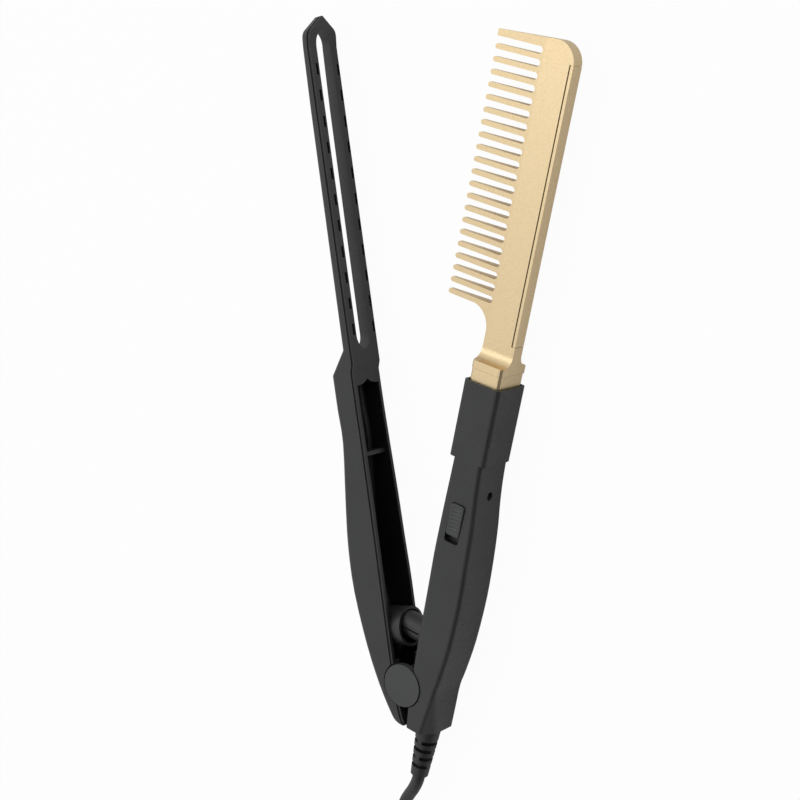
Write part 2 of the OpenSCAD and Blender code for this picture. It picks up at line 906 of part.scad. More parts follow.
// Heights below the tip where the fork's back or its face changes slope
fork_steps = [123.3, 126.2, 132.2, 225, 249];
fork_outline = concat([for (y = fork_steps) [fork_w, y]], tip_outline);
splint_outer = concat(
    body_rows,
    [for (p = fork_outline) [p[1], lookup(p[1], fork_back), lookup(p[1], fork_front), p[0]]]
);
function channel_row(y) = [
    y, row_at(body_rows, y, 1) + splint_wall, channel_h, row_at(body_rows, y, 3) - splint_wall
];
splint_inner = concat(
    [for (q = body_rows) if (q[0] > -14 && q[0] < channel_y - 1) channel_row(q[0])],
    [channel_row(channel_y)]
);

// Section of the splint, rounded at its back, with a ledge along its rims
function splint_section(q) =
    let (
        r = fitted(edge_r, q[1], q[2], q[3]),
        x = q[2] - min(ledge_h, (q[2] - q[1]) * 0.3),
        z = q[3] - min(ledge_w, q[3] * 0.4)
    ) concat(
        [[q[2], z], [x, z], [x, q[3]]],
        quarter(q[1] + r, q[3] - r, r, 90),
        quarter(q[1] + r, -q[3] + r, r, 180),
        [[x, -q[3]], [x, -z], [q[2], -z]]
    );

// Solid through the splint's sections
module splint_loft(rows) {
    sweep([for (q = rows) [for (p = splint_section(q)) [p[0], q[0], p[1]]]]);
}

// The slot in the fork, pointed at both ends, seen along X
module fork_slot() {
    arch = sqrt(pow(lancet_r, 2) - pow(lancet_r - slot_w, 2));
    translate([slot_y0 + arch, -slot_w])
        square([slot_y1 - slot_y0 - 2 * arch, 2 * slot_w]);
    for (y = [slot_y0 + arch, slot_y1 - arch])
        intersection() {
            translate([y, lancet_r - slot_w])
                circle(r = lancet_r);
            translate([y, slot_w - lancet_r])
                circle(r = lancet_r);
        }
}

// Shape seen along X, carried from one X to another
module along_x(x0, x1) {
    translate([x0, 0, 0])
        rotate([90, 0, 90])
            linear_extrude(height = x1 - x0)
                children();
}

// The pockets along both rails
pocket_y0 = 240.3;
pocket_l = 4.3;
front_pocket_z = [4.7, 5.9];
back_pocket_z = [-7.5, -6.4];
module pockets() {
    for (i = [0 : pocket_count - 1], z = [front_pocket_z, back_pocket_z]) {
        y = pocket_y0 - i * pocket_pitch;
        block([face_x - pocket_d, y - pocket_l / 2, z[0]], [face_x + 1, y + pocket_l / 2, z[1]]);
    }
}

// The ears and the tail beside the hinge
ears_y1 = 14;
ears_rows = [
    for (q = body_rows)
        if (q[0] > -ears_y1 && q[0] < ears_y1)
            [q[0], q[1] + ledge_w, q[2], q[3] - ledge_w]
];
module ears() {
    intersection() {
        union() {
            loft(ears_rows, edge_r, 0.3);
            both_sides()
                disc(ear_r, ear_z0, ear_z0 + ear_t);
        }
        both_sides()
            difference() {
                disc(far, ear_z0, far);
                disc(recess_r, ear_z0 + ear_t, far + 1);
            }
    }
}

module splint() {
    channel_floor = channel_row(channel_y)[1];
    color([0.16, 0.165, 0.17])
        opened()
            difference() {
                union() {
                    difference() {
                        splint_loft(splint_outer);
                        loft(splint_inner, edge_r, edge_r);
                        along_x(channel_floor + channel_step, channel_h)
                            polygon(concat(
                                [for (q = channel_end) [channel_y + q[1], q[0]]],
                                [[channel_y - 1, -5], [channel_y - 1, 5]]
                            ));
                        both_sides()
                            disc(recess_r, ear_z0 + ear_t, far);
                    }
                    ears();
                    rod_x([cup_floor_x - cup_floor_t, cup_y, 0], cup_r,
                          cup_x - cup_floor_x + cup_floor_t);
                    block([channel_floor - 1, rib_y - rib_t / 2, -rib_h],
                          [rib_x, rib_y + rib_t / 2, rib_h]);
                }
                along_x(-channel_h, 0)
                    fork_slot();
                rod_x([cup_floor_x, cup_y, 0], cup_r - cup_wall, channel_h);
                disc(pin_r + pin_gap, -far, far);
                pockets();
            }
}

// ---- Cord ----

relief_r0 = 5;
relief_r1 = 3.55;
relief_y1 = handle_y0 - relief_l;
cord_r = cord_d / 2;
coil_at = [-31, -122];
coil_in = wound_r - 1.5 * cord_d;
coil_out = wound_r + 1.5 * cord_d;
coil_top = 18;
plug_len = 36;
plug_tail = 18;
pin_len = 19;
pin_gap_w = 18.6;
// Route of the cord from the strain relief to the coil, at hand-chosen points
cord_route = [
    [10, -37.7, 9.8], [10, -39.5, 9.8], [9.5, -42.5, 9.6], [8.3, -46, 9.1], [6.6, -49.6, 8.3],
    [4.9, -53.3, 7.3], [3.5, -57.5, 6.1], [2.4, -63, 4.8], [1.5, -70, 3.6], [0.8, -79, 2.8], [0.4, -88, 2.5],
    [0.2, -98, 2.5], [0.2, -110, 2.5], [0.2, -122, 2.5]
];
// Route of the cord from the coil to the plug
tail_route = [
    [-31, -150.7, 15.4], [-36, -150.7, 15.6], [-42, -150.7, 14.4], [-48, -150.7, 12],
    [-53, -150.7, 9.3], [-58, -150.7, 7.4], [-61, -150.7, 7], [-63, -150.7, 7]
];

module strain_relief() {
    slots = 4;
    slot_step = 3.6;
    slot_t = 1.6;
    first_slot = 5.8;
    bridge = 2;
    color([0.12, 0.12, 0.125])
        lifted()
            difference() {
                union() {
                    translate([cord_x, handle_y0, 0])
                        rotate([90, 0, 0])
                            cylinder(r1 = relief_r0, r2 = relief_r1, h = relief_l);
                    rod_y([cord_x, handle_y0 - 1, 0], relief_neck_r, handle_inner[0][0] - handle_y0 + 2);
                    block([cord_x - 3.3, handle_inner[0][0] + 0.1, -5],
                          [cord_x + 2, handle_inner[0][0] + 1.5, 5]);
                }
                rod_y([cord_x, handle_y0, 0], cord_r, 20);
                difference() {
                    for (i = [0 : slots - 1])
                        translate([cord_x, handle_y0 - first_slot - i * slot_step, 0])
                            rotate([0, 90 * i, 0])
                                for (a = [0, 180])
                                    rotate([0, a, 0])
                                        block([bridge / 2, -slot_t / 2, -relief_r0],
                                              [relief_r0 + 1, slot_t / 2, relief_r0]);
                    rod_y([cord_x, relief_y1, 0], cord_r, relief_l);
                }
            }
}

clamp_y = 12.6;
clamp_x = [cord_x - 4.1, cord_x + 3.7];
clamp_z0 = 1.8;
clamp_z1 = 3.6;
clamp_screw_r = 0.6;
clamp_boss_r = 1.2;
clamp_head_r = 0.85;
inner_end_y = 16;

module cord_inner_end() {
    color([0.12, 0.12, 0.125])
        lifted()
            rod_y([cord_x, handle_y0, 0], cord_r, inner_end_y - handle_y0);
}

module cord_clamp() {
    color([0.25, 0.25, 0.25])
        lifted()
            difference() {
                block([clamp_x[0] - clamp_head_r, clamp_y - 1.7, clamp_z0],
                      [clamp_x[1] + clamp_head_r, clamp_y + 1.7, clamp_z1]);
                rod_y([cord_x, clamp_y - 3, 0], cord_r, 6);
                for (x = clamp_x)
                    translate([x, clamp_y, 0])
                        disc(clamp_screw_r, 0, far);
            }
}

module clamp_screws() {
    color("silver")
        lifted()
            for (x = clamp_x)
                translate([x, clamp_y, 0]) {
                    disc(clamp_screw_r, clamp_z0 - 5, clamp_z1);
                    disc(clamp_head_r, clamp_z1, clamp_z1 + 0.8);
                }
}

module mains_cord() {
    color([0.1, 0.1, 0.1]) {
        sweep(tube_loops(cord_route, cord_r, 10));
        sweep(tube_loops(tail_route, cord_r, 10));
    }
}

module cord_coil() {
    color([0.1, 0.1, 0.1])
        translate([coil_at[0], coil_at[1], 0])
            difference() {
                cylinder(r = coil_out, h = coil_top);
                translate([0, 0, -1])
                    cylinder(r = coil_in, h = coil_top + 2);
            }
}

module plug_body() {
    x0 = tail_route[len(tail_route) - 1][0];
    y0 = tail_route[0][1];
    color([0.1, 0.1, 0.1])
        translate([x0, y0, 7]) {
            rotate([0, -90, 0])
                cylinder(r1 = cord_r + 0.8, r2 = cord_r + 2, h = plug_tail);
            translate([-plug_tail - plug_len, -13, -7])
                cube([plug_len, 26, 14]);
        }
}

module plug_pins() {
    x0 = tail_route[len(tail_route) - 1][0] - plug_tail - plug_len;
    y0 = tail_route[0][1];
    color("silver")
        for (s = [-1, 1])
            rod_x([x0 - pin_len, y0 + s * pin_gap_w / 2, 7], 2, pin_len);
}

handle_housing();
inner_cover();
cover_screws();
collar();
comb_blade();
comb_spine_cover();
comb_socket();
heat_insulator();
comb_screws();
heater_elements();
heater_electrodes();
heater_insulation();
thermal_fuse();
circuit_board();
switch_body();
switch_button();
indicator_light();
heater_wires();
supply_wires();
spring_post();
compression_spring();
pivot_pin();
pivot_caps();
splint();
splint_washers();
strain_relief();
cord_clamp();
clamp_screws();
cord_inner_end();
mains_cord();
cord_coil();
plug_body();
plug_pins();
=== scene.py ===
import json
import math

import bmesh
import bpy
from mathutils import Matrix, Vector


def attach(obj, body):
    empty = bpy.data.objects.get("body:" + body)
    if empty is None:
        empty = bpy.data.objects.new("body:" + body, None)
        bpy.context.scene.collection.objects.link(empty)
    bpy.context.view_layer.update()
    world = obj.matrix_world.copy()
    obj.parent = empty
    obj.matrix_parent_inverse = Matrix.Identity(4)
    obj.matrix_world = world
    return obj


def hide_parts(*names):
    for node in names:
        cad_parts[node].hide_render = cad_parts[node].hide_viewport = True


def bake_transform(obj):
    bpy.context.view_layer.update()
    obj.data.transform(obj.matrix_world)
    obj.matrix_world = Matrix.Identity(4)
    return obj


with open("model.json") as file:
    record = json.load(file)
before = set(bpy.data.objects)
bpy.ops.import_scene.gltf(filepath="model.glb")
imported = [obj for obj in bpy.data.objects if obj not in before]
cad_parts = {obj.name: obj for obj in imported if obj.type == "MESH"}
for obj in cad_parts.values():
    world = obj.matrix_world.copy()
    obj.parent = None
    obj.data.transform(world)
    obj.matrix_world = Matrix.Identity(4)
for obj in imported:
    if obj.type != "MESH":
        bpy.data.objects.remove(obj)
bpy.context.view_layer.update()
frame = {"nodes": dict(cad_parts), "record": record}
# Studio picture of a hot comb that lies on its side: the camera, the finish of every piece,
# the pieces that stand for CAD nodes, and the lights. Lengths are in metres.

MM = 0.001
MID_Z = 9.8 * MM


# ---- Camera ----

CAMERA_AT = Vector((302.46, 290.45, 474.97)) * MM
CAMERA_RIGHT = Vector((0.765, 0.1738, -0.6202))
CAMERA_UP = Vector((-0.3241, 0.936, -0.1374))
CAMERA_LENS = 70.39


def add_camera():
    """The camera at the photograph's place, with its view turned a little sideways."""
    data = bpy.data.cameras.new("camera")
    data.sensor_fit = "HORIZONTAL"
    data.sensor_width = 36
    data.lens = CAMERA_LENS
    data.clip_start = 0.01
    camera = bpy.data.objects.new("camera", data)
    right = CAMERA_RIGHT.normalized()
    back = right.cross(CAMERA_UP).normalized()
    up = back.cross(right)
    turn = Matrix((right, up, back)).transposed().to_4x4()
    camera.matrix_world = Matrix.Translation(CAMERA_AT) @ turn
    bpy.context.collection.objects.link(camera)
    bpy.context.scene.camera = camera


add_camera()


# ---- Helpers for meshes and nodes ----

def link_object(name, data, body):
    """A new piece of the object, on its body; its data brings its material slot."""
    piece = bpy.data.objects.new(name, data)
    bpy.context.collection.objects.link(piece)
    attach(piece, body)
    return piece


def smooth_path(points, steps):
    """Points on a smooth curve through the given points."""
    line = [Vector(p) for p in points]
    result = []
    for i in range(len(line) - 1):
        before = line[max(i - 1, 0)]
        after = line[min(i + 2, len(line) - 1)]
        a, b = line[i], line[i + 1]
        for k in range(steps):
            t = k / steps
            result.append(0.5 * (2 * a + (b - before) * t
                                 + (2 * before - 5 * a + 4 * b - after) * t * t
                                 + (3 * a - before - 3 * b + after) * t ** 3))
    result.append(line[-1])
    return result


def node_material(name):
    """A new material with only its output and Principled nodes."""
    material = bpy.data.materials.new(name)
    material.use_nodes = True
    tree = material.node_tree
    shader = tree.nodes["Principled BSDF"]
    return material, tree, shader


def noise(tree, scale, detail=2.0, roughness=0.5):
    """A noise texture in the object's own coordinates."""
    place = tree.nodes.get("place")
    if place is None:
        place = tree.nodes.new("ShaderNodeTexCoord")
        place.name = "place"
    texture = tree.nodes.new("ShaderNodeTexNoise")
    texture.inputs["Scale"].default_value = scale
    texture.inputs["Detail"].default_value = detail
    texture.inputs["Roughness"].default_value = roughness
    tree.links.new(place.outputs["Object"], texture.inputs["Vector"])
    return texture


def spread(tree, source, low, high, socket):
    """Sends a texture's value to a socket, spread between two values."""
    span = tree.nodes.new("ShaderNodeMapRange")
    span.inputs["From Min"].default_value = 0.3
    span.inputs["From Max"].default_value = 0.7
    span.inputs["To Min"].default_value = low
    span.inputs["To Max"].default_value = high
    tree.links.new(source, span.inputs["Value"])
    tree.links.new(span.outputs["Result"], socket)


def tint(tree, source, dark, light, socket):
    """Sends a texture's value to a colour socket, between two colours."""
    ramp = tree.nodes.new("ShaderNodeValToRGB")
    ramp.color_ramp.elements[0].position = 0.35
    ramp.color_ramp.elements[1].position = 0.65
    ramp.color_ramp.elements[0].color = (*dark, 1)
    ramp.color_ramp.elements[1].color = (*light, 1)
    tree.links.new(source, ramp.inputs["Fac"])
    tree.links.new(ramp.outputs["Color"], socket)


def grain(tree, shader, scale, height):
    """A fine moulded or blasted grain."""
    fine = noise(tree, scale, 3.0, 0.6)
    bump = tree.nodes.new("ShaderNodeBump")
    bump.inputs["Strength"].default_value = 1.0
    bump.inputs["Distance"].default_value = height
    tree.links.new(fine.outputs["Fac"], bump.inputs["Height"])
    tree.links.new(bump.outputs["Normal"], shader.inputs["Normal"])


def along(tree, direction, source="Object"):
    """How far a point lies along a direction in the object's own coordinates. With the source
    "Normal", how much its surface faces that way."""
    place = tree.nodes.get("place")
    lean = tree.nodes.new("ShaderNodeVectorMath")
    lean.operation = "DOT_PRODUCT"
    lean.inputs[1].default_value = direction
    tree.links.new(place.outputs[source], lean.inputs[0])
    return lean.outputs["Value"]


def above(tree, source, limit, fade):
    """1 above the limit and 0 below it, with a soft step of the fade to either side."""
    span = tree.nodes.new("ShaderNodeMapRange")
    span.inputs["From Min"].default_value = limit - fade
    span.inputs["From Max"].default_value = limit + fade
    tree.links.new(source, span.inputs["Value"])
    return span.outputs["Result"]


def below(tree, source, limit, fade):
    """1 below the limit and 0 above it, with the same soft step."""
    return above(tree, source, limit, -fade)


def join(tree, operation, factors):
    """Several factors multiplied together, or the largest of them."""
    result = factors[0]
    for factor in factors[1:]:
        step = tree.nodes.new("ShaderNodeMath")
        step.operation = operation
        tree.links.new(result, step.inputs[0])
        tree.links.new(factor, step.inputs[1])
        result = step.outputs["Value"]
    return result


def darken(tree, shader, mask, color):
    """Paints shade: turns the base colour to a darker one where the mask is 1."""
    base = shader.inputs["Base Color"]
    mix = tree.nodes.new("ShaderNodeMixRGB")
    mix.inputs["Color2"].default_value = (*color, 1)
    tree.links.new(base.links[0].from_socket, mix.inputs["Color1"])
    tree.links.new(mask, mix.inputs["Fac"])
    tree.links.new(mix.outputs["Color"], base)


SPECULAR_LEVEL = 0.5
FLOW_SHIFT = 0.12
SPECKLE_SHIFT = 0.05


def plastic(name, color, rough, grain_scale=2600, grain_height=3e-5):
    """Moulded plastic: fine grain, faint flow marks in colour and gloss."""
    material, tree, shader = node_material(name)
    flow = noise(tree, 60, 3.0)
    fine = noise(tree, 900, 2.0)
    dark = tuple(c * (1 - FLOW_SHIFT) for c in color)
    light = tuple(c * (1 + FLOW_SHIFT) for c in color)
    tint(tree, flow.outputs["Fac"], dark, light, shader.inputs["Base Color"])
    spread(tree, fine.outputs["Fac"], rough - 0.05, rough + 0.05, shader.inputs["Roughness"])
    grain(tree, shader, grain_scale, grain_height)
    shader.inputs["Specular IOR Level"].default_value = SPECULAR_LEVEL
    return material


def satin_metal(name, color, rough):
    """Blasted and coloured metal with a soft sheen and a speckled grain."""
    material, tree, shader = node_material(name)
    speckle = noise(tree, 1500, 4.0, 0.6)
    fine = noise(tree, 1400, 2.0)
    dark = tuple(c * (1 - SPECKLE_SHIFT) for c in color)
    light = tuple(c * (1 + SPECKLE_SHIFT) for c in color)
    tint(tree, speckle.outputs["Fac"], dark, light, shader.inputs["Base Color"])
    spread(tree, fine.outputs["Fac"], rough - 0.04, rough + 0.04, shader.inputs["Roughness"])
    grain(tree, shader, 2600, 2.6e-5)
    shader.inputs["Metallic"].default_value = 1
    return material


def brushed_metal(name, color, rough):
    """Plated or drawn metal with fine lines."""
    material, tree, shader = node_material(name)
    lines = noise(tree, 1500, 2.0)
    spread(tree, lines.outputs["Fac"], rough - 0.06, rough + 0.06, shader.inputs["Roughness"])
    tint(tree, lines.outputs["Fac"], tuple(c * 0.94 for c in color), color, shader.inputs["Base Color"])
    grain(tree, shader, 2600, 0.8e-5)
    shader.inputs["Metallic"].default_value = 1
    return material


# ---- Materials ----

BLACK = (0.018, 0.0185, 0.019)
# Painted shade for the inside of the splint's channel
CHANNEL_PAINTED_SHADE = (0.003, 0.003, 0.003)
# Painted shade for the groove between the comb's back and its strip
JOINT_PAINTED_SHADE = (0.1, 0.07, 0.035)

# The splint's own directions, and the room inside its channel along them, where shade is painted
SPLINT_OPEN = math.radians(22.75)
SPLINT_ACROSS = (math.cos(SPLINT_OPEN), math.sin(SPLINT_OPEN), 0)
SPLINT_ALONG = (-math.sin(SPLINT_OPEN), math.cos(SPLINT_OPEN), 0)
UP = (0, 0, 1)
CHANNEL_BOTTOM = -6.2 * MM
CHANNEL_RIM = 0.8 * MM
CHANNEL_START = -16 * MM
CHANNEL_END = 121 * MM

# Where shade is painted into the joint along the strip on the comb's back
JOINT_X = (13.45 * MM, 14 * MM)
JOINT_Y = (142.8 * MM, 244.3 * MM)
JOINT_Z = 12.3 * MM
JOINT_FADE = 0.05 * MM

# How soft the edges of both masks are
FADE = 0.1 * MM
END_FADE = 1 * MM
FACING = 0.45
FACING_FADE = 0.15


def splint_plastic_painted_shade(name):
    """Black plastic with painted shade deep in the splint's channel, where its walls and floor lie in
    shade.
    """
    material = plastic(name, BLACK, 0.48)
    tree = material.node_tree
    shader = tree.nodes["Principled BSDF"]
    across = along(tree, SPLINT_ACROSS)
    length = along(tree, SPLINT_ALONG)
    height = along(tree, UP)
    facing_out = along(tree, SPLINT_ACROSS, "Normal")
    facing_up = along(tree, UP, "Normal")
    low_wall = join(tree, "MULTIPLY", [below(tree, height, MID_Z, FADE),
                                       above(tree, facing_up, FACING, FACING_FADE)])
    high_wall = join(tree, "MULTIPLY", [above(tree, height, MID_Z, FADE),
                                        below(tree, facing_up, -FACING, FACING_FADE)])
    bottom = join(tree, "MULTIPLY", [above(tree, facing_out, FACING, FACING_FADE),
                                     below(tree, across, CHANNEL_BOTTOM, FADE)])
    inside = join(tree, "MAXIMUM", [low_wall, high_wall, bottom])
    mask = join(tree, "MULTIPLY", [inside,
                                   above(tree, length, CHANNEL_START, END_FADE),
                                   below(tree, length, CHANNEL_END, END_FADE),
                                   below(tree, across, CHANNEL_RIM, FADE)])
    # Painted shade: the channel's walls and floor are darkened where the channel shades them
    darken(tree, shader, mask, CHANNEL_PAINTED_SHADE)
    return material


def comb_metal(name):
    """The comb's champagne metal, with painted shade in the joint beside the strip on its back."""
    material = satin_metal(name, (0.68, 0.535, 0.325), 0.4)
    tree = material.node_tree
    shader = tree.nodes["Principled BSDF"]
    across = along(tree, (1, 0, 0))
    length = along(tree, (0, 1, 0))
    height = along(tree, UP)
    line = join(tree, "MULTIPLY", [above(tree, across, JOINT_X[0], JOINT_FADE),
                                   below(tree, across, JOINT_X[1], JOINT_FADE),
                                   above(tree, length, JOINT_Y[0], FADE),
                                   below(tree, length, JOINT_Y[1], FADE),
                                   above(tree, height, JOINT_Z, FADE)])
    # Painted shade: a dark line in the groove beside the strip, where shade falls
    darken(tree, shader, line, JOINT_PAINTED_SHADE)
    return material


MATERIALS = {
    "black_plastic": plastic("black_plastic", BLACK, 0.48),
    "cap_plastic": plastic("cap_plastic", (0.038, 0.039, 0.04), 0.46, 3000, 2e-5),
    "button_plastic": plastic("button_plastic", (0.032, 0.033, 0.034), 0.45),
    "champagne_metal": comb_metal("champagne_metal"),
    "insulator": plastic("insulator", (0.6, 0.57, 0.5), 0.6),
    "heater_ceramic": plastic("heater_ceramic", (0.2, 0.2, 0.21), 0.7),
    "electrode": brushed_metal("electrode", (0.75, 0.6, 0.35), 0.35),
    "film": plastic("film", (0.6, 0.33, 0.07), 0.3),
    "fuse_metal": brushed_metal("fuse_metal", (0.8, 0.8, 0.8), 0.25),
    "board": plastic("board", (0.03, 0.17, 0.07), 0.4),
    "switch_plastic": plastic("switch_plastic", (0.03, 0.03, 0.03), 0.45),
    "lens": plastic("lens", (0.022, 0.01, 0.01), 0.25, 900, 0.3e-5),
    "wire": plastic("wire", (0.55, 0.53, 0.46), 0.5),
    "steel": brushed_metal("steel", (0.6, 0.6, 0.6), 0.3),
    "cord_rubber": plastic("cord_rubber", (0.009, 0.0092, 0.0095), 0.5, 2400, 1.5e-5),
    "pin_metal": brushed_metal("pin_metal", (0.72, 0.72, 0.7), 0.22),
}

SLOTS = {part["node"]: part["material_slot"] for part in frame["record"]["subparts"]}


def dress(name, material):
    """Gives a CAD node one material."""
    node = frame["nodes"][name]
    node.data.materials.clear()
    node.data.materials.append(material)


def dress_nodes():
    """Every CAD node gets the material of its slot, and the splint its own black plastic with painted shade
    in its channel.
    """
    for name, slot in SLOTS.items():
        dress(name, MATERIALS[slot])
    dress("splint", splint_plastic_painted_shade("splint_plastic_painted_shade"))


dress_nodes()


# ---- Softened edges of the CAD nodes ----

FLAT_ANGLE = math.radians(0.4)
SHARP_ANGLE = math.radians(30)
EDGE_SEGMENTS = 3


def soften(name, width):
    """Merges flat triangles of a node and rounds its sharp edges a little."""
    node = frame["nodes"][name]
    flat = node.modifiers.new("flat", "DECIMATE")
    flat.decimate_type = "DISSOLVE"
    flat.angle_limit = FLAT_ANGLE
    edge = node.modifiers.new("edge", "BEVEL")
    edge.width = width
    edge.segments = EDGE_SEGMENTS
    edge.limit_method = "ANGLE"
    edge.angle_limit = SHARP_ANGLE
    even = node.modifiers.new("even", "WEIGHTED_NORMAL")
    even.keep_sharp = True


for part_name, edge_width in (
    ("comb_blade", 0.3 * MM), ("comb_spine_cover", 0.12 * MM), ("comb_socket", 0.35 * MM),
    ("collar", 0.25 * MM), ("pivot_caps", 0.3 * MM), ("spring_post", 0.3 * MM),
    ("handle_housing", 0.25 * MM), ("splint", 0.25 * MM), ("inner_cover", 0.2 * MM),
    ("strain_relief", 0.3 * MM), ("plug_pins", 0.4 * MM),
):
    soften(part_name, edge_width)


# ---- Switch button and plug ----

CORNER_STEPS = 6
SKIN_SHARP_ANGLE = math.radians(40)


def rounded_ring(centre, u, v, half_u, half_v, radius):
    """Points round a rectangle with round corners."""
    points = []
    for side_u, side_v, start in ((1, 1, 0), (-1, 1, 90), (-1, -1, 180), (1, -1, 270)):
        for k in range(CORNER_STEPS + 1):
            a = math.radians(start + 90 * k / CORNER_STEPS)
            points.append(centre + u * (side_u * (half_u - radius) + radius * math.cos(a))
                          + v * (side_v * (half_v - radius) + radius * math.sin(a)))
    return points


def skin_piece(name, skins, body, slot):
    """A piece of closed skins. Each skin is a row of rings with as many points each."""
    points = []
    faces = []
    for rings in skins:
        first = len(points)
        count = len(rings[0])
        for ring in rings:
            points.extend(ring)
        for i in range(len(rings) - 1):
            for k in range(count):
                a = first + i * count + k
                b = first + i * count + (k + 1) % count
                faces.append((a, b, b + count, a + count))
        faces.append(tuple(range(first, first + count)))
        faces.append(tuple(range(len(points) - count, len(points))))
    data = bpy.data.meshes.new(name)
    data.from_pydata(points, [], faces)
    work = bmesh.new()
    work.from_mesh(data)
    bmesh.ops.recalc_face_normals(work, faces=work.faces)
    work.to_mesh(data)
    work.free()
    for face in data.polygons:
        face.use_smooth = True
    data.set_sharp_from_angle(angle=SKIN_SHARP_ANGLE)
    data.materials.append(MATERIALS[slot])
    return link_object(name, data, body)


# The button and the plate under its window, in millimetres
BUTTON_X = 8.95
BUTTON_Y0 = 67.65
BUTTON_Y1 = 80.35
BUTTON_HALF = 3.05
BUTTON_FOOT = 16.3
BUTTON_TOP = 19.55
BUTTON_CORNER = 1.1
BUTTON_EDGE = 0.4
BUTTON_EDGE_STEP = 0.12
RIBS = 7
RIB_DEPTH = 0.3
RIB_FROM = 0.8
RIB_FULL = 1.5
RIB_STEPS = 96
PLATE_Y = 73.8
PLATE_HALF_W = 3.9
PLATE_HALF_L = 9.4
PLATE_R = 0.5
PLATE_Z = (16.1, 16.5)


def corner_drop(distance, radius):
    """How far a rounded corner lies back at a distance from the end."""
    if distance >= radius:
        return 0.0
    return radius - math.sqrt(radius ** 2 - (radius - distance) ** 2)


def add_button():
    """The slide switch's ribbed button, with the plate under its window."""
    length = BUTTON_Y1 - BUTTON_Y0
    ribbed = length - 2 * BUTTON_CORNER
    ends = [BUTTON_CORNER * (1 - math.cos(math.pi / 2 * k / CORNER_STEPS)) for k in range(CORNER_STEPS + 1)]
    middle = [BUTTON_CORNER + ribbed * k / RIB_STEPS for k in range(1, RIB_STEPS)]
    rings = []
    for place in ends + middle + [length - e for e in reversed(ends)]:
        near = min(place, length - place)
        half = BUTTON_HALF - corner_drop(near, BUTTON_CORNER)
        top = BUTTON_TOP - corner_drop(near, BUTTON_EDGE)
        wave = (place - BUTTON_CORNER) / ribbed
        dip = 0.0
        if 0 < wave < 1:
            dip = RIB_DEPTH * (0.5 - 0.5 * math.cos(2 * math.pi * RIBS * wave))
        profile = [(-half, BUTTON_FOOT), (-half, top - BUTTON_EDGE),
                   (-half + BUTTON_EDGE_STEP, top - BUTTON_EDGE_STEP), (-half + BUTTON_EDGE, top),
                   (-half + RIB_FROM, top), (-half + RIB_FULL, top - dip)]
        profile += [(-x, z) for x, z in reversed(profile)]
        rings.append([Vector((BUTTON_X + x, BUTTON_Y0 + place, z)) * MM for x, z in profile])
    plate = [rounded_ring(Vector((BUTTON_X, PLATE_Y, z)) * MM, Vector((1, 0, 0)), Vector((0, 1, 0)),
                          PLATE_HALF_W * MM, PLATE_HALF_L * MM, PLATE_R * MM) for z in PLATE_Z]
    button = skin_piece("slide_button", [rings, plate], "switch", "button_plastic")
    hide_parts("switch_button")


add_button()

# The plug and its relief, in millimetres
PLUG_Y = -150.7
PLUG_Z = 7.0
PLUG_FROM = -63.0
PLUG_SHOULDER = -81.0
PLUG_END = -117.0
RELIEF_R = 3.3
RELIEF_GROWTH = 1.3
RELIEF_GROOVES = 5
GROOVE_DEPTH = 0.55
RELIEF_STEPS = 72
NECK_HALF_W = 5
NECK_HALF_H = 4.8
PLUG_HALF_W = 13
PLUG_HALF_H = 7
SHOULDER_LENGTH = 9
PLUG_CORNER = 4.5
PLUG_EDGE = 1.5
PLUG_STEPS = 32
RELIEF_GAP = 0.02


def add_plug():
    """The plug, with its ribbed relief and round shoulders."""
    across = Vector((0, 1, 0))
    up = Vector((0, 0, 1))
    rings = []
    for k in range(RELIEF_STEPS + 1):
        part = k / RELIEF_STEPS
        x = PLUG_FROM + (PLUG_SHOULDER - PLUG_FROM) * part
        groove = max(0.0, math.sin(2 * math.pi * RELIEF_GROOVES * part)) ** 0.5
        radius = (RELIEF_R + RELIEF_GROWTH * part - GROOVE_DEPTH * groove) * MM
        rings.append(rounded_ring(Vector((x, PLUG_Y, PLUG_Z)) * MM, across, up, radius, radius, radius))
    body_length = PLUG_SHOULDER - PLUG_END
    for k in range(PLUG_STEPS + 1):
        gone = body_length * (1 - math.cos(math.pi * k / PLUG_STEPS)) / 2
        swell = math.sin(math.pi / 2 * min(gone / SHOULDER_LENGTH, 1.0))
        back = corner_drop(body_length - gone, PLUG_EDGE)
        half_u = (NECK_HALF_W + (PLUG_HALF_W - NECK_HALF_W) * swell - back) * MM
        half_v = (NECK_HALF_H + (PLUG_HALF_H - NECK_HALF_H) * swell - back) * MM
        centre = Vector((PLUG_SHOULDER - RELIEF_GAP - gone, PLUG_Y, PLUG_Z)) * MM
        rings.append(rounded_ring(centre, across, up, half_u, half_v, (PLUG_CORNER - back) * MM))
    plug = skin_piece("mains_plug", [rings], "handle", SLOTS["plug_body"])
    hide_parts("plug_body")
    return plug


MAINS_PLUG = add_plug()


# ---- Spring ----

def add_spring():
    """The arm's spring between the handle and the splint, a copy of its CAD node's mesh put in the node's
    place.
    """
    data = frame["nodes"]["compression_spring"].data.copy()
    spring = bpy.data.objects.new("arm_spring", data)
    bpy.context.collection.objects.link(spring)
    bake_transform(spring)
    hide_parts("compression_spring")


add_spring()


# ---- Cord ----

